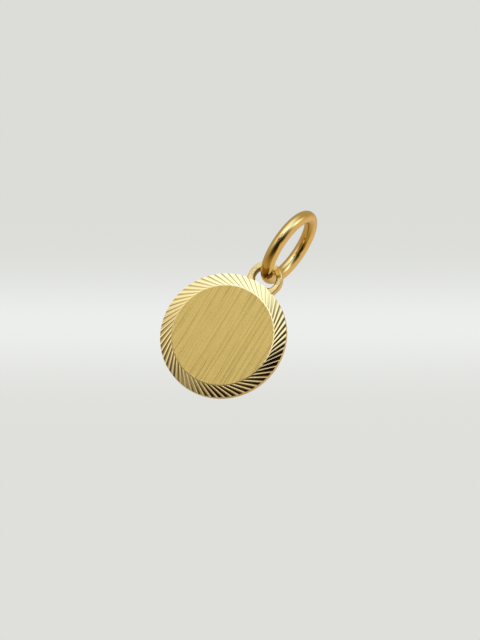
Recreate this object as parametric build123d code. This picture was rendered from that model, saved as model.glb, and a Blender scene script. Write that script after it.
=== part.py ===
from build123d import *
import os
from math import cos, radians, sin, sqrt, tan

# Engraving disc on a jump ring, hanging straight down.
# Millimetres. The front of the disc faces -Y, X runs to the right and Z up.
# The origin is the inside top of the jump ring, where a chain carries it.

# Jump ring: round wire bent to a circle and closed
ring_wire = 1.0
ring_inner_diameter = 4.6

# Disc: a plain round face, a little proud of the cut rim round it
disc_diameter = 10.0
disc_thickness = 0.58
face_diameter = 8.0
face_rise = 0.03
back_edge_round = 0.06

# Rim cuts: straight V-grooves that swing round the face by cut_sweep degrees as they run outwards
cut_count = 58
first_cut_angle = 2.3
cut_sweep = 17.0
cut_depth_inner = 0.04
cut_depth_outer = 0.085
# The side of a groove towards the middle slopes gently, and its outer side is steeper
cut_gentle_slope = 15.0
cut_steep_slope = 27.0
# How far the cutter runs past both ends of a cut, and stands clear of the rim
cutter_overrun = 0.4
cutter_clearance = 0.1

# Eyelet: a flat loop soldered to the top edge of the disc
eyelet_outer_diameter = 2.74
eyelet_hole_diameter = 1.8
eyelet_thickness = 0.7
eyelet_edge_round = 0.08
# The middle of the hole stands this far above the edge of the disc
eyelet_overhang = 0.53
# The foot of the loop reaches this far into the disc, and its front lies this far behind the face
eyelet_lap = 0.15
eyelet_set_back = 0.02

# Room between the wire and the top of the eyelet's hole
hang_clearance = 0.05

# Jump ring places
wire_radius = ring_wire / 2
ring_inner_radius = ring_inner_diameter / 2
ring_radius = ring_inner_radius + wire_radius
ring_z = -ring_inner_radius
pivot_z = ring_z - ring_radius

# Eyelet places: the wire curves up from its lowest point, so it is met at the hole's two ends
eyelet_radius = eyelet_outer_diameter / 2
hole_radius = eyelet_hole_diameter / 2
eyelet_front = -eyelet_thickness / 2
eyelet_back = eyelet_thickness / 2
wire_rise = ring_inner_radius - sqrt(ring_inner_radius**2 - eyelet_back**2)
eyelet_z = pivot_z + wire_radius + wire_rise + hang_clearance - hole_radius

# Disc places
disc_radius = disc_diameter / 2
face_radius = face_diameter / 2
disc_z = eyelet_z - eyelet_overhang - disc_radius
face_y = eyelet_front - eyelet_set_back
rim_y = face_y + face_rise
back_y = face_y + disc_thickness


def round_slab(radius, front, back, z):
    """A round slab with its axis along Y and its middle at height z."""
    return Pos(0, (front + back) / 2, z) * Rot(90, 0, 0) * Cylinder(radius, back - front)


def groove_point(radius, angle, depth):
    """A point of a groove's bottom, at this radius and angle round the disc."""
    return Vector(radius * cos(angle), rim_y + depth, disc_z + radius * sin(angle))


def make_cutter(angle):
    """The V-edged tool of one rim cut, whose inner end lies at this angle round the disc."""
    start = groove_point(face_radius, angle, cut_depth_inner)
    end = groove_point(disc_radius, angle + radians(cut_sweep), cut_depth_outer)
    run = end - start
    along = run.normalized()
    outward = Vector(0, -1, 0).cross(along)
    height = cut_depth_outer + cutter_clearance
    edge = Polyline(
        (-height / tan(radians(cut_gentle_slope)), height),
        (0, 0),
        (height / tan(radians(cut_steep_slope)), height),
        close=True,
    )
    plane = Plane(origin=start - along * cutter_overrun, x_dir=outward, z_dir=along)
    return extrude(plane * make_face(edge), amount=run.length + 2 * cutter_overrun)


def make_jump_ring():
    """A closed ring of round wire that stands in the plane of Y and Z."""
    return Pos(0, 0, ring_z) * Rot(0, 90, 0) * Torus(ring_radius, wire_radius)


def make_disc():
    """A round blank whose rim is cut all round, and the plain face that stands on it."""
    disc = round_slab(disc_radius, rim_y, back_y, disc_z)
    disc = fillet(disc.edges().group_by(Axis.Y)[-1], back_edge_round)
    for cut in range(cut_count):
        disc -= make_cutter(radians(first_cut_angle + cut * 360 / cut_count))
    return disc + round_slab(face_radius, face_y, back_y, disc_z)


def make_eyelet():
    """The flat loop, without the part where the disc's edge closes its hole."""
    loop = round_slab(eyelet_radius, eyelet_front, eyelet_back, eyelet_z)
    loop -= round_slab(hole_radius, eyelet_front, eyelet_back, eyelet_z)
    loop = fillet(loop.edges().filter_by(GeomType.CIRCLE), eyelet_edge_round)
    return loop - round_slab(disc_radius - eyelet_lap, eyelet_front - 1, eyelet_back + 1, disc_z)


# The eyelet is soldered on, so it and the disc are one solid
nodes = {
    "jump_ring": make_jump_ring(),
    "engraving_disc": make_disc() + make_eyelet(),
}

os.makedirs("parts", exist_ok=True)
for name, solid in nodes.items():
    export_step(solid, f"parts/{name}.step")
    box = solid.bounding_box()
    print(name, "volume", round(solid.volume, 3), "solids", len(solid.solids()), "valid", solid.is_valid)
    print("   from", box.min, "to", box.max)
print("pivot z", round(pivot_z, 4), "disc z", round(disc_z, 4), "face y", round(face_y, 4), "back y", round(back_y, 4))
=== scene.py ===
"""Looks of a gold engraving disc that hangs from a round-wire jump ring.

The disc has a brushed face inside a rim of slanting bright cuts. A flat loop is soldered to its
top edge, and the jump ring passes through it. The front faces -Y, and Z is up. Lengths are in
metres, and sizes that are easier to read in millimetres are multiplied by MM.
"""
import logging
import math
from dataclasses import dataclass
from enum import Enum

import bmesh
import bpy
from bpy.types import Material, Mesh, Node, NodeSocket, NodeTree, Object
from mathutils import Matrix, Vector, noise


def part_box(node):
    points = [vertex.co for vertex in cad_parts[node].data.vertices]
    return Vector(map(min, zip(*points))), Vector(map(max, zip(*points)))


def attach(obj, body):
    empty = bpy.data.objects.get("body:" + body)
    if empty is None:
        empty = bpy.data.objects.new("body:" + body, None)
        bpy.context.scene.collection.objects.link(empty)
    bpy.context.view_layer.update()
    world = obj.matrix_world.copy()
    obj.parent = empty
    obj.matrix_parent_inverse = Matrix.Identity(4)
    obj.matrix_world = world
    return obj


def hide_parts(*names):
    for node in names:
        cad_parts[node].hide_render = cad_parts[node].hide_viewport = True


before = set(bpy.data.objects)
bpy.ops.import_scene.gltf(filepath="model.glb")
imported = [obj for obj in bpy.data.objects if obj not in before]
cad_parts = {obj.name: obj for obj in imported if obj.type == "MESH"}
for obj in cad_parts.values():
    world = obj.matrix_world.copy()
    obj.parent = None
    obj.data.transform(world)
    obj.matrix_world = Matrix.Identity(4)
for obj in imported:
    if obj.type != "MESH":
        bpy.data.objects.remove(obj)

log = logging.getLogger("disc_pendant")

MM = 0.001
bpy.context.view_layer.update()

# Names of the values that are kept on the meshes
RECESS = "recess"
ROW = "row"
CUT_NUMBER = "cut"

# Points of a mesh that lie closer together than this are joined
WELD_GAP = 0.0001 * MM

# Keeps a divisor away from zero
TINY = 1e-5

# A noise node gives values around this one
NOISE_MIDDLE = 0.5

# The places of a Mix node's colour sockets
MIX_SHARE, MIX_ONE, MIX_OTHER, MIX_RESULT = 0, 6, 7, 2


@dataclass(frozen=True)
class Field:
    """A value inside a node tree, which plain arithmetic turns into nodes.

    Attributes:
        tree: The node tree that holds the value.
        socket: The output socket that gives it.
    """

    tree: NodeTree
    socket: NodeSocket

    def math(self, operation: str, *others: "Field | float") -> "Field":
        """Adds a Math node.

        Args:
            operation: The node's operation.
            others: The values that come after this one.

        Returns:
            The node's result.
        """
        node = add_node(self.tree, "ShaderNodeMath", dict(enumerate((self, *others))), operation=operation)
        return Field(self.tree, node.outputs[0])

    def __add__(self, other: "Field | float") -> "Field":
        """The sum."""
        return self.math("ADD", other)

    __radd__ = __add__

    def __sub__(self, other: "Field | float") -> "Field":
        """The difference."""
        return self.math("SUBTRACT", other)

    def __rsub__(self, other: float) -> "Field":
        """The difference, with a number first."""
        return self.math("MULTIPLY_ADD", -1.0, other)

    def __mul__(self, other: "Field | float") -> "Field":
        """The product."""
        return self.math("MULTIPLY", other)

    def __truediv__(self, other: "Field | float") -> "Field":
        """The quotient."""
        return self.math("DIVIDE", other)

    def squared(self) -> "Field":
        """The square."""
        return self.math("MULTIPLY", self)

    def between(self, start: "Field | float", end: "Field | float", soft: bool = False) -> "Field":
        """How far the value has gone from start to end, held between 0 and 1.

        Args:
            start: The value that gives 0.
            end: The value that gives 1.
            soft: Whether it eases in and out.

        Returns:
            The share of the way.
        """
        node = add_node(self.tree, "ShaderNodeMapRange", {0: self, 1: start, 2: end})
        node.interpolation_type = "SMOOTHSTEP" if soft else "LINEAR"
        return Field(self.tree, node.outputs[0])


def plug(tree: NodeTree, socket: NodeSocket, value: object) -> None:
    """Links a value to an input, or sets the input's own value.

    Args:
        tree: The tree that holds both.
        socket: The input.
        value: A Field, an output socket, or a plain value.
    """
    if isinstance(value, Field):
        tree.links.new(value.socket, socket)
    elif isinstance(value, NodeSocket):
        tree.links.new(value, socket)
    else:
        socket.default_value = value


def add_node(
    tree: NodeTree, kind: str, inputs: dict | None = None, **settings: object,
) -> Node:
    """Adds a node.

    Args:
        tree: The tree that gets it.
        kind: The node's type name.
        inputs: Values or links for its inputs, by name or number.
        settings: Values for its other properties, set first.

    Returns:
        The new node.
    """
    node = tree.nodes.new(kind)
    for name, value in settings.items():
        setattr(node, name, value)
    for name, value in (inputs or {}).items():
        plug(tree, node.inputs[name], value)
    return node


def combine(tree: NodeTree, x: object, y: object, z: object) -> NodeSocket:
    """Joins three values into a vector."""
    return add_node(tree, "ShaderNodeCombineXYZ", {0: x, 1: y, 2: z}).outputs[0]


def split(tree: NodeTree, vector: NodeSocket) -> list[Field]:
    """Takes a vector apart into its three values."""
    return [Field(tree, out) for out in add_node(tree, "ShaderNodeSeparateXYZ", {0: vector}).outputs]


class MakerTree:
    """A geometry tree that makes one piece, with a named input for each of its sizes."""

    def __init__(self, name: str, sizes: dict[str, float | int]) -> None:
        """Starts the tree.

        Args:
            name: The piece that it makes.
            sizes: The inputs' names and values. A whole number makes a whole-number input.
        """
        self.name = name
        self.sizes = sizes
        self.tree = bpy.data.node_groups.new(name, "GeometryNodeTree")
        self.tree.interface.new_socket("Geometry", in_out="OUTPUT", socket_type="NodeSocketGeometry")
        for label, value in sizes.items():
            kind = "NodeSocketInt" if isinstance(value, int) else "NodeSocketFloat"
            self.tree.interface.new_socket(label, in_out="INPUT", socket_type=kind)
        start = self.tree.nodes.new("NodeGroupInput")
        self.size = {label: Field(self.tree, start.outputs[label]) for label in sizes}

    def node(self, kind: str, inputs: dict | None = None, **settings: object) -> NodeSocket:
        """Adds a node and gives its first output."""
        return add_node(self.tree, kind, inputs, **settings).outputs[0]

    def store(
        self, geometry: NodeSocket, name: str, value: object, kind: str, domain: str,
    ) -> NodeSocket:
        """Keeps a value on the mesh as a named attribute.

        Args:
            geometry: The mesh or instances that get it.
            name: The attribute's name.
            value: Its value.
            kind: Its data type.
            domain: Where it is kept, such as POINT or CORNER.

        Returns:
            The geometry with the attribute.
        """
        inputs = {"Geometry": geometry, "Name": name, "Value": value}
        return self.node("GeometryNodeStoreNamedAttribute", inputs, data_type=kind, domain=domain)

    def read(self, name: str, kind: str) -> NodeSocket:
        """Gives a named attribute's value."""
        return self.node("GeometryNodeInputNamedAttribute", {"Name": name}, data_type=kind)

    def dress(
        self, geometry: NodeSocket, material: Material, where: Field | bool = True,
    ) -> NodeSocket:
        """Gives faces a material.

        Args:
            geometry: The mesh.
            material: The material.
            where: Which faces get it.

        Returns:
            The dressed mesh.
        """
        inputs = {"Geometry": geometry, "Selection": where, "Material": material}
        return self.node("GeometryNodeSetMaterial", inputs)

    def finish(self, geometry: NodeSocket) -> Mesh:
        """Ends the tree, runs it once and keeps the result.

        Args:
            geometry: What the tree puts out.

        Returns:
            A plain mesh that needs no modifier.
        """
        self.tree.links.new(geometry, self.tree.nodes.new("NodeGroupOutput").inputs[0])
        maker = bpy.data.objects.new(self.name + "_maker", bpy.data.meshes.new(self.name + "_start"))
        bpy.context.scene.collection.objects.link(maker)
        modifier = maker.modifiers.new("make", "NODES")
        modifier.node_group = self.tree
        for item in self.tree.interface.items_tree:
            if item.in_out == "INPUT":
                modifier[item.identifier] = self.sizes[item.name]
        graph = bpy.context.evaluated_depsgraph_get()
        mesh = bpy.data.meshes.new_from_object(maker.evaluated_get(graph), depsgraph=graph)
        mesh.name = self.name
        while mesh.materials[0] is None:
            mesh.materials.pop(index=0)
        maker.modifiers.clear()
        bpy.data.objects.remove(maker)
        return mesh


def place(mesh: Mesh, name: str) -> Object:
    """Puts a mesh in the scene as a piece at the origin.

    Args:
        mesh: The mesh.
        name: The piece's name.

    Returns:
        The piece.
    """
    piece = bpy.data.objects.new(name, mesh)
    bpy.context.scene.collection.objects.link(piece)
    return piece


def shade(mesh: Mesh, crease: float) -> None:
    """Shades a mesh smooth, with crisp edges and a crisp border round its first material.

    Args:
        mesh: The mesh.
        crease: The angle in degrees above which an edge stays crisp.
    """
    work = bmesh.new()
    work.from_mesh(mesh)
    for face in work.faces:
        face.smooth = True
    for edge in work.edges:
        border = len({face.material_index == 0 for face in edge.link_faces}) > 1
        edge.smooth = not border and edge.calc_face_angle(0.0) < math.radians(crease)
    work.to_mesh(mesh)
    work.free()


class Map(Enum):
    """The surface maps that straight tool lines follow. Their second coordinate runs along the lines."""

    BRUSH = "brush_map"
    CUT = "cut_map"


@dataclass(frozen=True)
class Lines:
    """Fine straight lines that a tool has left.

    Attributes:
        follow: The map that they follow.
        width: The width of the finest lines.
        depth: Their depth.
        tone: How much the colour changes from line to line.
        gloss: How much the roughness changes from line to line.
        spread: How much further reflections spread across the lines than along them, from 0 to 1.
        scratch: How much deeper than the other lines the rare long scratches are.
    """

    follow: Map
    width: float
    depth: float
    tone: float = 0.0
    gloss: float = 0.0
    spread: float = 0.0
    scratch: float = 0.0


@dataclass(frozen=True)
class Gold:
    """Yellow gold with one kind of surface.

    Attributes:
        name: The material's name.
        roughness: How far reflections spread.
        tint: The colour that the gold gives to what it mirrors.
        wander: How much the tone and the gloss wander over the surface.
        wander_size: How wide that wandering is.
        scratch_depth: The depth of hair scratches from handling.
        dimple_depth: The depth of shallow uneven dimples.
        dimple_size: How wide they are.
        lines: Straight tool lines, where it has them.
        painted_hole_shade: How much darker the colour is painted inside the hole, as painted shade for the
            dark reflections there.
    """

    name: str
    roughness: float
    tint: tuple[float, float, float] = (0.90, 0.66, 0.235)
    wander: float = 0.03
    wander_size: float = 0.6 * MM
    scratch_depth: float = 0.0
    dimple_depth: float = 0.0
    dimple_size: float = 0.25 * MM
    lines: Lines | None = None
    painted_hole_shade: float = 0.0


BRUSHED_FACE = Gold(
    "brushed_gold", roughness=0.42, tint=(0.95, 0.64, 0.158),
    lines=Lines(Map.BRUSH, 0.035 * MM, 0.0008 * MM, tone=0.52, gloss=0.1, spread=0.5, scratch=0.5),
)
BRIGHT_CUT = Gold("cut_gold", roughness=0.05, wander=0.02, lines=Lines(Map.CUT, 0.02 * MM, 0.00004 * MM))
POLISHED_EDGE = Gold("edge_gold", roughness=0.14, scratch_depth=0.0004 * MM)
PLAIN_BACK = Gold(
    "back_gold", roughness=0.16, wander=0.05, scratch_depth=0.0005 * MM, dimple_depth=0.0008 * MM,
)
SOLDERED_LOOP = Gold(
    "eyelet_gold", roughness=0.20, wander=0.12, wander_size=0.35 * MM, scratch_depth=0.0003 * MM,
    dimple_depth=0.005 * MM, dimple_size=0.22 * MM, painted_hole_shade=0.6,
)
POLISHED_WIRE = Gold(
    "wire_gold", roughness=0.10, wander=0.04, scratch_depth=0.0002 * MM, dimple_depth=0.001 * MM,
    dimple_size=0.6 * MM,
)

# How strongly the wander changes the tone and the roughness
TONE_WANDER = 2.0
GLOSS_WANDER = 4.0

# How much rougher the gold is inside the hole, where its colour also carries painted shade, and the least
# roughness anywhere
DULL_GLOSS = 0.2
LEAST_ROUGHNESS = 0.03

# Hair scratches: their width, their two directions, how much of each turn goes round each axis,
# how they are drawn out, and the noise levels that they fade between
HAIR_WIDTH = 0.03 * MM
HAIR_TURNS = (0.5, 1.9)
HAIR_AXES = (1.0, 0.7, 1.3)
HAIR_SCALE = (1.0, 0.02, 0.02)
HAIR_BAND = (0.29, 0.36)


@dataclass(frozen=True)
class Streaks:
    """One layer of streaks in the tool lines.

    Attributes:
        finer: How many times finer they are than the fineness of the lines.
        length: How many times longer than wide they are.
        offset: Where in the noise they start.
        detail: How much finer noise is in them.
        share: How much they count.
    """

    finer: float
    length: float
    offset: float
    detail: float = 1.0
    share: float = 1.0


# Fine lines, broad lines, and grain
LINE_LAYERS = (
    Streaks(1.0, 60.0, 0.0, share=0.9),
    Streaks(0.5, 110.0, 3.0, share=0.75),
    Streaks(0.8, 2.5, 5.0, share=1.3),
)

# Sparse broad lines and rare long scratches, which fade in between two levels of the noise
SPARSE_LINES = Streaks(0.22, 150.0, 21.0, detail=0.0, share=0.25)
SPARSE_BAND = (-0.08, -0.15)
LONG_SCRATCHES = Streaks(0.30, 90.0, 13.0, detail=0.0)
LONG_BAND = (-0.19, -0.27)


class GoldShop:
    """Makes the gold materials from shader groups that they share."""

    def __init__(self) -> None:
        """Builds the groups once."""
        self.wander = self._wander_group()
        self.scratches = self._scratch_group()
        self.lines = self._line_group()

    def make(self, finish: Gold) -> Material:
        """Makes one material.

        Args:
            finish: The kind of surface.

        Returns:
            The material.
        """
        material = bpy.data.materials.new(finish.name)
        material.use_nodes = True
        tree = material.node_tree
        shader = tree.nodes["Principled BSDF"]
        shader.inputs["Metallic"].default_value = 1.0
        spot = add_node(tree, "ShaderNodeTexCoord").outputs["Object"]
        tone = gloss = 0.0
        heights = []
        if finish.lines:
            lines = finish.lines
            shader.inputs["Anisotropic"].default_value = lines.spread
            uv_map = lines.follow.value
            tangent = add_node(tree, "ShaderNodeTangent", direction_type="UV_MAP", uv_map=uv_map)
            plug(tree, shader.inputs["Tangent"], tangent.outputs[0])
            surface = add_node(tree, "ShaderNodeUVMap", uv_map=uv_map).outputs[0]
            drawn = self._use(tree, self.lines, {"Map": surface, "Fineness": 1.0 / lines.width})
            level, scratch = (Field(tree, drawn.outputs[name]) for name in ("Level", "Scratch"))
            level = level - scratch * lines.scratch
            tone = level * lines.tone
            gloss = level * -lines.gloss
            heights.append(level * lines.depth)
        if finish.scratch_depth:
            worn = self._use(tree, self.scratches, {"Position": spot, "Fineness": 1.0 / HAIR_WIDTH})
            heights.append(Field(tree, worn.outputs["Level"]) * finish.scratch_depth)
        if finish.dimple_depth:
            inputs = {"Vector": spot, "Scale": 1.0 / finish.dimple_size, "Detail": 3.0}
            uneven = add_node(tree, "ShaderNodeTexNoise", inputs)
            heights.append(Field(tree, uneven.outputs[0]) * finish.dimple_depth)
        # Inside the hole the colour is darkened as painted shade for the dark reflections there, and the
        # gold is made rougher
        if finish.painted_hole_shade:
            shade_mask = add_node(tree, "ShaderNodeAttribute", attribute_name=RECESS).outputs["Fac"]
            tone = Field(tree, shade_mask) * -finish.painted_hole_shade + tone
            gloss = Field(tree, shade_mask) * DULL_GLOSS + gloss
        aged = self._use(tree, self.wander, {
            "Position": spot, "Fineness": 1.0 / finish.wander_size, "Wander": finish.wander,
            "Tint": (*finish.tint, 1.0), "Roughness": finish.roughness, "Tone": tone, "Gloss": gloss,
        })
        plug(tree, shader.inputs["Base Color"], aged.outputs["Color"])
        plug(tree, shader.inputs["Roughness"], aged.outputs["Roughness"])
        if heights:
            height = heights[0]
            for more in heights[1:]:
                height = height + more
            bump = add_node(tree, "ShaderNodeBump", {"Distance": 1.0, "Height": height})
            plug(tree, shader.inputs["Normal"], bump.outputs[0])
        return material

    @staticmethod
    def _group(
        name: str, inputs: dict[str, str], outputs: dict[str, str],
    ) -> tuple[NodeTree, dict[str, Field], Node]:
        """Starts a shader group.

        Args:
            name: The group's name.
            inputs: The kinds of its inputs, by name.
            outputs: The kinds of its outputs, by name.

        Returns:
            The group, its inputs as fields by name, and the node that takes its outputs.
        """
        tree = bpy.data.node_groups.new(name, "ShaderNodeTree")
        for direction, sockets in (("INPUT", inputs), ("OUTPUT", outputs)):
            for label, kind in sockets.items():
                tree.interface.new_socket(label, in_out=direction, socket_type="NodeSocket" + kind)
        start = tree.nodes.new("NodeGroupInput")
        fields = {label: Field(tree, start.outputs[label]) for label in inputs}
        return tree, fields, tree.nodes.new("NodeGroupOutput")

    @staticmethod
    def _use(tree: NodeTree, group: NodeTree, inputs: dict) -> Node:
        """Places one of the groups in a material."""
        return add_node(tree, "ShaderNodeGroup", inputs, node_tree=group)

    def _wander_group(self) -> NodeTree:
        """Makes a group that lets tone and gloss wander slightly, as on handled metal.

        Returns:
            The group.
        """
        tree, given, end = self._group(
            "gold_wander",
            {
                "Position": "Vector", "Fineness": "Float", "Wander": "Float", "Tint": "Color",
                "Roughness": "Float", "Tone": "Float", "Gloss": "Float",
            },
            {"Color": "Color", "Roughness": "Float"},
        )
        cloud = add_node(
            tree, "ShaderNodeTexNoise",
            {"Vector": given["Position"], "Scale": given["Fineness"], "Detail": 3.0, "Roughness": 0.6},
        )
        swing = (Field(tree, cloud.outputs[0]) - NOISE_MIDDLE) * given["Wander"]
        tinted = add_node(tree, "ShaderNodeVectorMath", {0: given["Tint"]}, operation="SCALE")
        plug(tree, tinted.inputs["Scale"], 1.0 + swing * TONE_WANDER + given["Tone"])
        plug(tree, end.inputs["Color"], tinted.outputs[0])
        rough = given["Roughness"] * (1.0 - swing * GLOSS_WANDER) + given["Gloss"]
        plug(tree, end.inputs["Roughness"], rough.math("MAXIMUM", LEAST_ROUGHNESS))
        return tree

    def _scratch_group(self) -> NodeTree:
        """Makes a group of hair scratches in two directions.

        Returns:
            The group. Its level is 0 beside the scratches, and each takes it down by 1.
        """
        tree, given, end = self._group(
            "hair_scratches", {"Position": "Vector", "Fineness": "Float"}, {"Level": "Float"},
        )
        levels = []
        for turn in HAIR_TURNS:
            rotation = tuple(turn * share for share in HAIR_AXES)
            inputs = {"Vector": given["Position"], "Rotation": rotation, "Scale": HAIR_SCALE}
            turned = add_node(tree, "ShaderNodeMapping", inputs)
            inputs = {"Vector": turned.outputs[0], "Scale": given["Fineness"], "Detail": 1.0}
            hair = add_node(tree, "ShaderNodeTexNoise", inputs)
            levels.append(Field(tree, hair.outputs[0]).between(*HAIR_BAND, soft=True) - 1.0)
        plug(tree, end.inputs["Level"], levels[0] + levels[1])
        return tree

    def _line_group(self) -> NodeTree:
        """Makes a group of parallel lines and fine grain, with a mask of rare long scratches.

        Returns:
            The group. Its level lies around 0.
        """
        outputs = {"Level": "Float", "Scratch": "Float"}
        tree, given, end = self._group("tool_lines", {"Map": "Vector", "Fineness": "Float"}, outputs)
        sparse = self._streaks(tree, given, SPARSE_LINES).between(*SPARSE_BAND, soft=True)
        level = sparse * -SPARSE_LINES.share
        for layer in LINE_LAYERS:
            level = self._streaks(tree, given, layer) * layer.share + level
        scratch = self._streaks(tree, given, LONG_SCRATCHES).between(*LONG_BAND, soft=True)
        plug(tree, end.inputs["Level"], level)
        plug(tree, end.inputs["Scratch"], scratch)
        return tree

    @staticmethod
    def _streaks(tree: NodeTree, given: dict[str, Field], layer: Streaks) -> Field:
        """Makes noise that is drawn out along a map's second coordinate.

        Args:
            tree: The group's tree.
            given: The group's inputs.
            layer: The sizes of the streaks.

        Returns:
            The noise, around 0.
        """
        inputs = {"Vector": given["Map"], "Scale": (1.0, 1.0 / layer.length, 1.0)}
        drawn = add_node(tree, "ShaderNodeMapping", inputs)
        sized = add_node(tree, "ShaderNodeVectorMath", {0: drawn.outputs[0]}, operation="SCALE")
        plug(tree, sized.inputs["Scale"], given["Fineness"] * layer.finer)
        start = (layer.offset, layer.offset, 0.0)
        shifted = add_node(tree, "ShaderNodeVectorMath", {0: sized.outputs[0], 1: start})
        inputs = {"Vector": shifted.outputs[0], "Scale": 1.0, "Detail": layer.detail}
        return Field(tree, add_node(tree, "ShaderNodeTexNoise", inputs).outputs[0]) - NOISE_MIDDLE


@dataclass(frozen=True)
class RimCuts:
    """The slanting bright cuts round the disc's face.

    Attributes:
        count: How many there are.
        first_angle: Where the point of one cut's V meets the face, in degrees round the disc.
        sweep: How far each swings round the disc as it runs outwards, in degrees.
        bottom: The share of a cut's width at which the point of its V lies.
        steepness: The depth of that V as a share of the cut's width.
        sharpness: How closely the cut's hollow comes to the V.
        fall: How much lower the rim is at its outer edge.
        entry: The share of a cut's length in which it drops to its depth.
        scallop: How far each cut bites into the edge of the face.
    """

    count: int = 58
    first_angle: float = -0.99
    sweep: float = 17.0
    bottom: float = 0.01
    steepness: float = 0.084
    sharpness: float = 0.487
    fall: float = 0.07 * MM
    entry: float = 0.08
    scallop: float = 0.035 * MM


@dataclass
class EngravingDisc:
    """The round plate with its brushed face and cut rim.

    Attributes:
        radius: The plate's radius.
        centre_z: The height of its middle.
        face_y: Where the face lies, front to back.
        thickness: The plate's thickness.
        face_radius: The radius of the brushed face.
        back_round: The rounding of its back edge.
        brush_lean: How far the brush lines lean from upright, in degrees.
        cuts: The cuts round the face.
        columns: Mesh columns across one cut.
        crowding: How strongly the mesh rows along a cut crowd towards the face.
        line_shift: How far the lines in one cut are moved against those in the cut before it.
    """

    radius: float
    centre_z: float
    face_y: float
    thickness: float = 0.58 * MM
    face_radius: float = 4.0 * MM
    back_round: float = 0.06 * MM
    brush_lean: float = 5.0
    cuts: RimCuts = RimCuts()
    columns: int = 26
    crowding: float = 1.6
    line_shift: float = 0.7 * MM

    def build(self, shop: GoldShop) -> Object:
        """Makes the plate.

        Args:
            shop: Where its materials come from.

        Returns:
            The piece.
        """
        cuts = self.cuts
        maker = MakerTree("disc_plate", {
            "Cuts": cuts.count, "Columns": self.columns, "Face Rows": 3, "Cut Rows": 24, "Wall Rows": 3,
            "Round Rows": 4, "Back Rows": 3, "Radius": self.radius, "Face Radius": self.face_radius,
            "Thickness": self.thickness, "Back Round": self.back_round, "Face Y": self.face_y,
            "Centre Z": self.centre_z, "First Angle": math.radians(cuts.first_angle),
            "Line Offset": self.line_offset(), "Bottom": cuts.bottom, "Steepness": cuts.steepness,
            "Sharpness": cuts.sharpness, "Fall": cuts.fall, "Entry": cuts.entry, "Scallop": cuts.scallop,
            "Brush Lean": math.radians(self.brush_lean),
        })
        mesh = maker.finish(self._dress(maker, self._repeat(maker, self._sector(maker)), shop))
        for spare in (ROW, CUT_NUMBER):
            mesh.attributes.remove(mesh.attributes[spare])
        shade(mesh, crease=40.0)
        return place(mesh, "disc_plate")

    def line_offset(self) -> float:
        """Works out how far the straight lines of the cuts pass from the disc's middle.

        Returns:
            The distance.
        """
        sweep = math.radians(self.cuts.sweep)
        aside = self.radius * math.sin(sweep)
        length = math.hypot(self.radius * math.cos(sweep) - self.face_radius, aside)
        return self.face_radius * aside / length

    def _sector(self, maker: MakerTree) -> NodeSocket:
        """Bends a flat grid to the surface over one cut, from the front's middle to the back's.

        Args:
            maker: The tree.

        Returns:
            The surface, round the Y axis.
        """
        tree, size = maker.tree, maker.size
        ends = [size["Face Rows"]]
        for zone in ("Cut Rows", "Wall Rows", "Round Rows", "Back Rows"):
            ends.append(ends[-1] + size[zone])
        grid = maker.node("GeometryNodeMeshGrid", {
            "Size X": 1.0, "Size Y": 1.0,
            "Vertices X": size["Columns"] + 1.0, "Vertices Y": ends[-1] + 1.0,
        })

        # The grid is 1 wide round its middle, and t goes from 0 at one ridge to 1 at the next
        spot = split(tree, maker.node("GeometryNodeInputPosition"))
        t = spot[0] + 0.5
        row = (spot[1] + 0.5) * ends[-1]
        grid = maker.store(grid, ROW, row, "FLOAT", "FACE")
        face = row.between(0.0, ends[0])
        cut = row.between(ends[0], ends[1]).math("POWER", self.crowding)
        wall = row.between(ends[1], ends[2])
        turn = row.between(ends[2], ends[3]) * (math.pi / 2)
        back = row.between(ends[3], ends[4])

        # A cut's section is a hollow arc that leaves each ridge towards the point of a V
        rest = 1.0 - t
        pull = t * rest * size["Sharpness"] * 2.0
        whole = rest.squared() + pull + t.squared()
        across = (pull * size["Bottom"] + t.squared()) / whole
        dip = pull / whole

        edge = size["Face Radius"] + size["Scallop"] * (0.5 - dip)
        span = cut * (size["Radius"] - edge)
        reach = edge + span
        inward = size["Back Round"] * (1.0 - turn.math("COSINE"))
        radius = face * edge + span - inward - back * (size["Radius"] - size["Back Round"])

        # The lines of the cuts are straight, so they all pass the middle at one distance
        offset = size["Line Offset"]
        twist = (offset / reach.math("MAXIMUM", size["Face Radius"])).math("ARCCOSINE")
        twist = twist - (offset / size["Face Radius"]).math("ARCCOSINE")
        pitch = size["Cuts"].math("POWER", -1.0) * math.tau
        aside = (across - size["Bottom"]) * pitch
        angle = size["First Angle"] + aside + twist

        along = (reach.squared() - offset.squared()).math("MAXIMUM", 0.0).math("SQRT")
        entered = 1.0 - (1.0 - cut.between(0.0, size["Entry"])).squared()
        depth = entered * (size["Fall"] * cut + dip * size["Steepness"] * pitch * along)
        y = size["Face Y"] + depth * (1.0 - wall) + wall * (size["Thickness"] - size["Back Round"])
        y = y + size["Back Round"] * turn.math("SINE")

        surface = combine(tree, aside * along, along, 0.0)
        grid = maker.store(grid, Map.CUT.value, surface, "FLOAT2", "CORNER")
        bent = combine(tree, radius * angle.math("COSINE"), y, radius * angle.math("SINE"))
        return maker.node("GeometryNodeSetPosition", {"Geometry": grid, "Position": bent})

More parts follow.
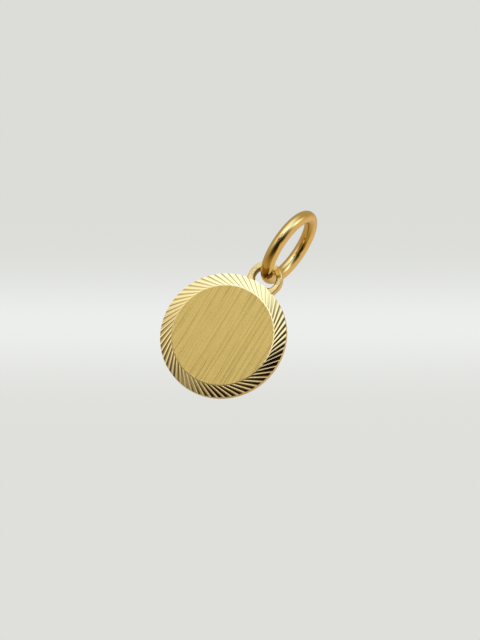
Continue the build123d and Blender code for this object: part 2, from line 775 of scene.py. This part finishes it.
    def _repeat(self, maker: MakerTree, sector: NodeSocket) -> NodeSocket:
        """Sets the sectors round the disc and joins them.

        Args:
            maker: The tree.
            sector: The surface over one cut.

        Returns:
            The closed plate.
        """
        tree, size = maker.tree, maker.size
        middle = combine(tree, 0.0, 0.0, size["Centre Z"])
        points = maker.node("GeometryNodePoints", {"Count": size["Cuts"], "Position": middle})
        number = Field(tree, maker.node("GeometryNodeInputIndex"))
        turned = combine(tree, 0.0, number / size["Cuts"] * -math.tau, 0.0)
        rotation = maker.node("FunctionNodeEulerToRotation", {"Euler": turned})
        inputs = {"Points": points, "Instance": sector, "Rotation": rotation}
        copies = maker.node("GeometryNodeInstanceOnPoints", inputs)
        copies = maker.store(copies, CUT_NUMBER, number, "INT", "INSTANCE")
        plate = maker.node("GeometryNodeRealizeInstances", {"Geometry": copies})
        plate = maker.node("GeometryNodeMergeByDistance", {"Geometry": plate, "Distance": WELD_GAP})
        return maker.node("GeometryNodeFlipFaces", {"Mesh": plate})

    def _dress(
        self, maker: MakerTree, plate: NodeSocket, shop: GoldShop,
    ) -> NodeSocket:
        """Lays the maps on the plate and gives each zone its material.

        Args:
            maker: The tree.
            plate: The closed plate.
            shop: Where the materials come from.

        Returns:
            The dressed plate.
        """
        tree, size = maker.tree, maker.size
        x, _, z = split(tree, maker.node("GeometryNodeInputPosition"))
        cosine, sine = (size["Brush Lean"].math(wave) for wave in ("COSINE", "SINE"))
        brush = combine(tree, x * cosine + z * sine, z * cosine - x * sine, 0.0)
        plate = maker.store(plate, Map.BRUSH.value, brush, "FLOAT2", "CORNER")

        # The lines of each cut come from another part of the noise, so that no two cuts are alike
        shift = combine(tree, Field(tree, maker.read(CUT_NUMBER, "INT")) * self.line_shift, 0.0, 0.0)
        surface = maker.read(Map.CUT.value, "FLOAT_VECTOR")
        moved = maker.node("ShaderNodeVectorMath", {0: surface, 1: shift})
        plate = maker.store(plate, Map.CUT.value, moved, "FLOAT2", "CORNER")
        plate = maker.dress(plate, shop.make(BRUSHED_FACE))
        row = Field(tree, maker.read(ROW, "FLOAT"))
        start = size["Face Rows"]
        zones = (
            (BRIGHT_CUT, start),
            (POLISHED_EDGE, start + size["Cut Rows"]),
            (PLAIN_BACK, start + size["Cut Rows"] + size["Wall Rows"]),
        )
        for finish, first_row in zones:
            plate = maker.dress(plate, shop.make(finish), row.math("GREATER_THAN", first_row))
        return plate


@dataclass
class Eyelet:
    """The flat loop on top of the disc, with its two soldered feet.

    Attributes:
        disc: The disc that it stands on.
        top_z: The height of its top.
        back_y: Where its back lies.
        outer_radius: Its outer radius.
        hole_radius: The radius of its hole.
        thickness: Its thickness.
        edge_round: The rounding of its edges.
        flare: How much the solder widens its feet.
        flare_reach: How far up each foot the solder reaches.
        lap: How far its feet reach into the disc's edge.
        foot_set_back: How far behind the brushed face the fronts of its feet lie.
        back_gap: How far in front of the disc's back the backs of its feet lie.
        unevenness: How far the cast surface departs from its true shape.
        uneven_size: How wide the dents and bumps of that surface are.
        seed: The seed of that surface's noise, which would otherwise come from the clock.
        steps: Mesh steps round the loop.
    """

    disc: EngravingDisc
    top_z: float
    back_y: float
    outer_radius: float = 1.37 * MM
    hole_radius: float = 0.90 * MM
    thickness: float = 0.66 * MM
    edge_round: float = 0.08 * MM
    flare: float = 0.13 * MM
    flare_reach: float = 0.42 * MM
    lap: float = 0.05 * MM
    foot_set_back: float = 0.06 * MM
    back_gap: float = 0.04 * MM
    unevenness: float = 0.006 * MM
    uneven_size: float = 0.45 * MM
    seed: int = 7
    steps: int = 110

    def build(self, shop: GoldShop) -> Object:
        """Makes the loop.

        Args:
            shop: Where its material comes from.

        Returns:
            The piece.
        """
        noise.seed_set(self.seed)
        work = bmesh.new()
        outline = self._outline()
        rings = []
        for step in range(self.steps + 1):
            rings.append([work.verts.new(self._point(*spot, step / self.steps)) for spot in outline])
        for one, two in zip(rings, rings[1:]):
            for corner in range(len(outline)):
                after = (corner + 1) % len(outline)
                work.faces.new((one[corner], one[after], two[after], two[corner]))
        work.faces.new(rings[0])
        work.faces.new(rings[-1])
        bmesh.ops.recalc_face_normals(work, faces=work.faces)
        mesh = bpy.data.meshes.new("eyelet")
        work.to_mesh(mesh)
        work.free()
        mesh.materials.append(shop.make(SOLDERED_LOOP))
        self._mark_recess(mesh)
        shade(mesh, crease=50.0)
        return place(mesh, "eyelet")

    def _mark_recess(self, mesh: Mesh) -> None:
        """Keeps on the mesh how far inside the hole each point lies, which sets where the colour is
        darkened as painted shade.

        Args:
            mesh: The loop's mesh.
        """
        centre = Vector((0.0, 0.0, self.top_z - self.outer_radius))
        recess = mesh.attributes.new(RECESS, "FLOAT", "POINT")
        for vertex, value in zip(mesh.vertices, recess.data):
            out = Vector((vertex.co.x, 0.0, vertex.co.z)) - centre
            inside = (self.hole_radius + self.edge_round - out.length) / self.edge_round
            value.value = min(max(inside, 0.0), 1.0)

    def _outline(self) -> list[tuple[float, float]]:
        """The loop's section, a rectangle with rounded corners.

        Returns:
            Its points in order, as radius and depth behind the front.
        """
        width, deep, bend = self.outer_radius - self.hole_radius, self.thickness, self.edge_round
        bends, flats = 5, 5
        corners = ((width - bend, deep - bend), (bend, deep - bend), (bend, bend), (width - bend, bend))
        points = []
        for number, (across, behind) in enumerate(corners):
            for step in range(bends + 1):
                turn = math.radians(90 * (number + step / bends))
                points.append(Vector((across + bend * math.cos(turn), behind + bend * math.sin(turn))))
            turn = math.radians(90 * (number + 1))
            across, behind = corners[(number + 1) % 4]
            end = Vector((across + bend * math.cos(turn), behind + bend * math.sin(turn)))
            start = points[-1]
            points.extend(start.lerp(end, step / flats) for step in range(1, flats))
        return [(self.hole_radius + point.x, point.y) for point in points]

    def _point(self, radius: float, behind: float, share: float) -> Vector:
        """A point of the loop's surface.

        Args:
            radius: Its distance from the middle of the hole.
            behind: How far behind the front it lies.
            share: How far round the loop it is, from the right foot to the left.

        Returns:
            The point.
        """
        centre_z = self.top_z - self.outer_radius
        rise = centre_z - self.disc.centre_z
        buried = self.disc.radius - self.lap
        foot = math.asin((buried**2 - rise**2 - radius**2) / (2 * rise * radius))
        angle = foot + share * (math.pi - 2 * foot)
        from_foot = min(share, 1 - share) * (math.pi - 2 * foot) * radius

        # Solder widens the foot, and its thickness shrinks into the disc's edge
        middle = (self.outer_radius + self.hole_radius) / 2
        half = (self.outer_radius - self.hole_radius) / 2
        radius += self.flare * max(0.0, 1 - from_foot / self.flare_reach) ** 2 * (radius - middle) / half
        y = self.back_y - self.thickness + behind
        front = self.disc.face_y + self.foot_set_back
        back = self.disc.face_y + self.disc.thickness - self.back_gap
        y += max(0.0, 1 - from_foot / (self.flare_reach / 2)) ** 2 * (min(max(y, front), back) - y)
        point = Vector((radius * math.cos(angle), y, centre_z + radius * math.sin(angle)))
        return point + noise.noise_vector(point / self.uneven_size) * self.unevenness


@dataclass
class JumpRing:
    """The closed ring of round wire that carries the disc.

    Attributes:
        wire_radius: Half of the wire's thickness.
        radius: The radius of the wire's middle line.
        centre_z: The height of its middle.
        waviness: How far the wire departs from a true round.
        wave_size: How long its waves are.
        wave_level: The level of the noise at which the wire has its true thickness.
    """

    wire_radius: float
    radius: float
    centre_z: float
    waviness: float = 0.006 * MM
    wave_size: float = 1.1 * MM
    wave_level: float = 0.6

    def build(self, shop: GoldShop) -> Object:
        """Makes the ring.

        Args:
            shop: Where its material comes from.

        Returns:
            The piece.
        """
        maker = MakerTree("jump_ring_wire", {
            "Ring Radius": self.radius, "Wire Radius": self.wire_radius, "Centre Z": self.centre_z,
            "Waviness": self.waviness, "Steps Round": 256, "Steps Over": 48,
        })
        tree, size = maker.tree, maker.size
        circle = "GeometryNodeCurvePrimitiveCircle"
        path = maker.node(circle, {"Resolution": size["Steps Round"], "Radius": size["Ring Radius"]})
        wire = maker.node(circle, {"Resolution": size["Steps Over"], "Radius": size["Wire Radius"]})
        ring = maker.node("GeometryNodeCurveToMesh", {"Curve": path, "Profile Curve": wire})
        turned = maker.node("FunctionNodeEulerToRotation", {"Euler": (0.0, math.pi / 2, 0.0)})
        up = combine(tree, 0.0, 0.0, size["Centre Z"])
        inputs = {"Geometry": ring, "Translation": up, "Rotation": turned}
        ring = maker.node("GeometryNodeTransform", inputs)
        spot = maker.node("GeometryNodeInputPosition")
        inputs = {"Vector": spot, "Scale": 1.0 / self.wave_size, "Detail": 1.0}
        swell = Field(tree, maker.node("ShaderNodeTexNoise", inputs))
        normal = maker.node("GeometryNodeInputNormal")
        outward = maker.node("ShaderNodeVectorMath", {0: normal}, operation="SCALE")
        plug(tree, outward.node.inputs["Scale"], (swell - self.wave_level) * size["Waviness"])
        ring = maker.node("GeometryNodeSetPosition", {"Geometry": ring, "Offset": outward})
        ring = maker.node("GeometryNodeRealizeInstances", {"Geometry": ring})
        mesh = maker.finish(maker.dress(ring, shop.make(POLISHED_WIRE)))
        shade(mesh, crease=60.0)
        return place(mesh, "jump_ring_wire")


@dataclass(frozen=True)
class Standpoint:
    """Where the pendant is looked at from.

    Attributes:
        azimuth: Degrees to the right of straight in front.
        elevation: Degrees above level.
        roll: Degrees that the camera leans.
        distance: How far from the middle of the face.
        scale: Pixels to a millimetre at the face.
        face_pixel: Where the middle of the face lies in the picture.
        picture: The picture's width and height in pixels.
    """

    azimuth: float = 18.11
    elevation: float = -6.27
    roll: float = 36.4
    distance: float = 250 * MM
    scale: float = 12.86
    face_pixel: tuple[float, float] = (222.7, 334.8)
    picture: tuple[int, int] = (480, 640)

    def axes(self) -> tuple[Vector, Vector, Vector]:
        """Works out how the picture lies in the scene.

        Returns:
            The picture's right and up, and the direction back to the camera.
        """
        angles = (self.azimuth, self.elevation, self.roll)
        turn, lift, roll = (math.radians(angle) for angle in angles)
        flat = math.cos(lift)
        back = Vector((math.sin(turn) * flat, -math.cos(turn) * flat, math.sin(lift)))
        level = Vector((math.cos(turn), math.sin(turn), 0.0))
        upright = back.cross(level)
        right = level * math.cos(roll) + upright * math.sin(roll)
        return right, back.cross(right), back

    def set_camera(self, target: Vector) -> None:
        """Makes the camera.

        Args:
            target: The middle of the face.
        """
        right, up, back = self.axes()
        width, height = self.picture
        aside = (width / 2 - self.face_pixel[0]) / self.scale * MM
        above = (self.face_pixel[1] - height / 2) / self.scale * MM
        data = bpy.data.cameras.new("camera")
        data.lens = data.sensor_width * self.distance * self.scale / MM / height
        data.clip_start, data.clip_end = 10 * MM, 10.0
        camera = bpy.data.objects.new("camera", data)
        turned = Matrix((right, up, back)).transposed().to_4x4()
        spot = target + right * aside + up * above + back * self.distance
        camera.matrix_world = Matrix.Translation(spot) @ turned
        bpy.context.scene.collection.objects.link(camera)
        bpy.context.scene.camera = camera


class Side(Enum):
    """The half of the studio that a card stands in."""

    FRONT = "front"
    BEHIND = "behind"


@dataclass(frozen=True)
class Card:
    """A soft-edged light or dark card of the studio.

    A card in front is placed by its angles from the line to the camera, and a card behind by its
    angles from the opposite direction.

    Attributes:
        name: What it is.
        light: Its brightness in red, green and blue.
        x: Its left and right edges, in degrees.
        y: Its lower and upper edges, in degrees.
        soft: How wide its left, right, lower and upper edges fade, in degrees.
        side: The half that it stands in.
    """

    name: str
    light: tuple[float, float, float]
    x: tuple[float, float]
    y: tuple[float, float]
    soft: tuple[float, float, float, float]
    side: Side = Side.FRONT


@dataclass(frozen=True)
class Studio:
    """A pale room with soft light cards, a plain backdrop and a plain floor.

    Attributes:
        stand: Where the camera stands.
        room: The brightness of the room where no card shows.
        backdrop: The colour of the upper backdrop.
        backdrop_low: The colour of the lower backdrop.
        blend: How far above and below level the two colours blend, in degrees.
        glow: The colour of the bright band right behind the pendant.
        glow_y: The height of the band's middle, in degrees.
        glow_falloff: How quickly the band fades upwards and downwards.
        glow_ends: How far to each side the band starts and ends to fade, in degrees.
        floor_drop: How far the floor lies below the origin.
        floor_radius: The floor's radius.
        floor_colour: The floor's colour.
        floor_light: A little light of its own, which makes the floor as pale as the backdrop.
        cards: The cards, each laid over those before it.
    """

    stand: Standpoint
    room: tuple[float, float, float] = (0.585, 0.585, 0.65)
    backdrop: tuple[float, float, float] = (0.715, 0.722, 0.686)
    backdrop_low: tuple[float, float, float] = (0.738, 0.745, 0.708)
    blend: float = 0.6
    glow: tuple[float, float, float] = (0.845, 0.856, 0.842)
    glow_y: float = -0.1
    glow_falloff: float = 1.3
    glow_ends: tuple[float, float] = (4.0, 16.0)
    floor_drop: float = 60 * MM
    floor_radius: float = 600 * MM
    floor_colour: tuple[float, float, float] = (0.80, 0.80, 0.77)
    floor_light: tuple[float, float, float] = (0.19, 0.21, 0.135)
    cards: tuple[Card, ...] = (
        Card("wall light", (2.37, 2.49, 2.99), (-44, -2), (6, 72), (85, 75, 30, 49)),
        Card("brown table", (0.35, 0.25, 0.092), (-120, 33), (-237, 8), (33, 49, 48, 90)),
        Card("overhead light", (1.02, 1.22, 1.73), (-33, 36), (25, 112), (31, 71, 13, 23)),
        Card("dark gap round the camera", (0.024, 0.018, 0.010), (-50, 51), (-48, 19.3), (68, 60, 45, 45)),
        Card("right light", (1.71, 2.18, 2.71), (48, 84), (22, 54), (37, 50, 28, 52)),
        Card(
            "dark frame of the near lamp", (0.010, 0.002, 0.001), (-41.1, 2.3), (14.5, 38),
            (14.7, 16.6, 8.2, 16),
        ),
        Card("grey wall at the left", (0.34, 0.33, 0.34), (-42, -29.1), (9, 23.5), (6, 5, 6, 4)),
        Card("near lamp", (2.27, 2.33, 2.76), (-31.6, -16.5), (26.3, 31.8), (7.9, 4.5, 10.2, 4.8)),
        Card("top lamp", (1.30, 1.62, 2.80), (-23.7, 26), (36.4, 51.1), (8.7, 83, 5.3, 11.5)),
        Card("side lamp", (1.54, 1.85, 2.81), (-8.5, -0.1), (17.1, 43.4), (4.5, 20, 10.5, 20.7)),
        Card("dim room behind", (0.46, 0.37, 0.23), (-85, 80), (-80, 85), (50, 50, 50, 50), Side.BEHIND),
        Card(
            "wall behind to the right", (0.74, 0.60, 0.46), (22, 110), (-105, 10),
            (40, 40, 40, 40), Side.BEHIND,
        ),
    )

    def build(self) -> None:
        """Makes the light, the backdrop and the floor."""
        scene = bpy.context.scene
        scene.view_settings.view_transform = "Standard"
        world = bpy.data.worlds.new("studio")
        scene.world = world
        world.use_nodes = True
        tree = world.node_tree
        tree.nodes.clear()
        way = add_node(tree, "ShaderNodeTexCoord").outputs["Generated"]
        right, up, back = (self._against(tree, way, axis) for axis in self.stand.axes())
        level = (right.squared() + up.squared()).math("SQRT").math("MAXIMUM", TINY)
        degrees = math.degrees(1)
        spots = {}
        for side, facing in ((Side.FRONT, back), (Side.BEHIND, back * -1.0)):
            turn = level.math("ARCTAN2", facing)
            spots[side] = (right / level * turn * degrees, up / level * turn * degrees)
        light = (*self.room, 1.0)
        for card in self.cards:
            light = self._mix(tree, self._mask(card, *spots[card.side]), light, (*card.light, 1.0))
            light.node.label = card.name
        x, y = spots[Side.BEHIND]
        near = 1.0 - x.math("ABSOLUTE").between(*self.glow_ends, soft=True)
        band = near * ((y - self.glow_y).squared() * -self.glow_falloff).math("EXPONENT")
        lower = y.between(self.blend, -self.blend, soft=True)
        paper = self._mix(tree, lower, (*self.backdrop, 1.0), (*self.backdrop_low, 1.0))
        seen = add_node(tree, "ShaderNodeLightPath").outputs["Is Camera Ray"]
        shown = self._mix(tree, seen, light, self._mix(tree, band, paper, (*self.glow, 1.0)))
        sky = add_node(tree, "ShaderNodeBackground", {"Color": shown})
        add_node(tree, "ShaderNodeOutputWorld", {"Surface": sky.outputs[0]})
        self._floor()

    @staticmethod
    def _mix(
        tree: NodeTree, share: object, one: object, other: object,
    ) -> NodeSocket:
        """Mixes two colours."""
        inputs = {MIX_SHARE: share, MIX_ONE: one, MIX_OTHER: other}
        return add_node(tree, "ShaderNodeMix", inputs, data_type="RGBA").outputs[MIX_RESULT]

    @staticmethod
    def _against(tree: NodeTree, way: NodeSocket, axis: Vector) -> Field:
        """How far a direction goes along an axis."""
        node = add_node(tree, "ShaderNodeVectorMath", {0: way, 1: tuple(axis)}, operation="DOT_PRODUCT")
        return Field(tree, node.outputs["Value"])

    @staticmethod
    def _mask(card: Card, x: Field, y: Field) -> Field:
        """How much of a card shows in a direction.

        Args:
            card: The card.
            x: How far to the right the direction goes, in degrees.
            y: How far up it goes.

        Returns:
            The share, from 0 to 1.
        """
        left, right, low, high = (width / 2 for width in card.soft)
        across = x.between(card.x[0] - left, card.x[0] + left, soft=True)
        across = across * x.between(card.x[1] + right, card.x[1] - right, soft=True)
        upward = y.between(card.y[0] - low, card.y[0] + low, soft=True)
        return across * upward * y.between(card.y[1] + high, card.y[1] - high, soft=True)

    def _floor(self) -> None:
        """Makes a plain pale floor, which the gold doesn't mirror."""
        work = bmesh.new()
        bmesh.ops.create_circle(work, cap_ends=True, segments=96, radius=self.floor_radius)
        bmesh.ops.translate(work, verts=work.verts, vec=(0.0, 0.0, -self.floor_drop))
        mesh = bpy.data.meshes.new("floor")
        work.to_mesh(mesh)
        work.free()
        material = bpy.data.materials.new("pale_floor")
        material.use_nodes = True
        shader = material.node_tree.nodes["Principled BSDF"]
        values = {
            "Base Color": (*self.floor_colour, 1.0), "Emission Color": (*self.floor_light, 1.0),
            "Emission Strength": 1.0, "Roughness": 0.9, "Specular IOR Level": 0.0,
        }
        for name, value in values.items():
            shader.inputs[name].default_value = value
        mesh.materials.append(material)
        floor = place(mesh, "floor")
        floor.visible_glossy = False


def main() -> None:
    """Builds the pendant and its studio."""
    logging.basicConfig(level=logging.INFO, format="%(name)s: %(message)s")
    ring_low, ring_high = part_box("jump_ring")
    disc_low, disc_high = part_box("engraving_disc")
    radius = (disc_high[0] - disc_low[0]) / 2
    disc = EngravingDisc(radius=radius, centre_z=disc_low[2] + radius, face_y=disc_low[1])
    eyelet = Eyelet(disc=disc, top_z=disc_high[2], back_y=disc_high[1])
    wire = (ring_high[0] - ring_low[0]) / 2
    ring = JumpRing(
        wire_radius=wire,
        radius=(ring_high[2] - ring_low[2]) / 2 - wire,
        centre_z=(ring_high[2] + ring_low[2]) / 2,
    )
    stand = Standpoint()
    stand.set_camera(Vector((0.0, disc.face_y, disc.centre_z)))
    Studio(stand).build()
    shop = GoldShop()
    rides = (
        (disc, "disc", "engraving_disc", "gold_disc"),
        (eyelet, "disc", "engraving_disc", "gold_disc"),
        (ring, "ring", "jump_ring", "gold_wire"),
    )
    for part, body, node, slot in rides:
        piece = part.build(shop)
        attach(piece, body)
        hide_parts(node)
        log.info("%s: %d faces, rides on %s", piece.name, len(piece.data.polygons), body)


if __name__ == "__main__":
    main()
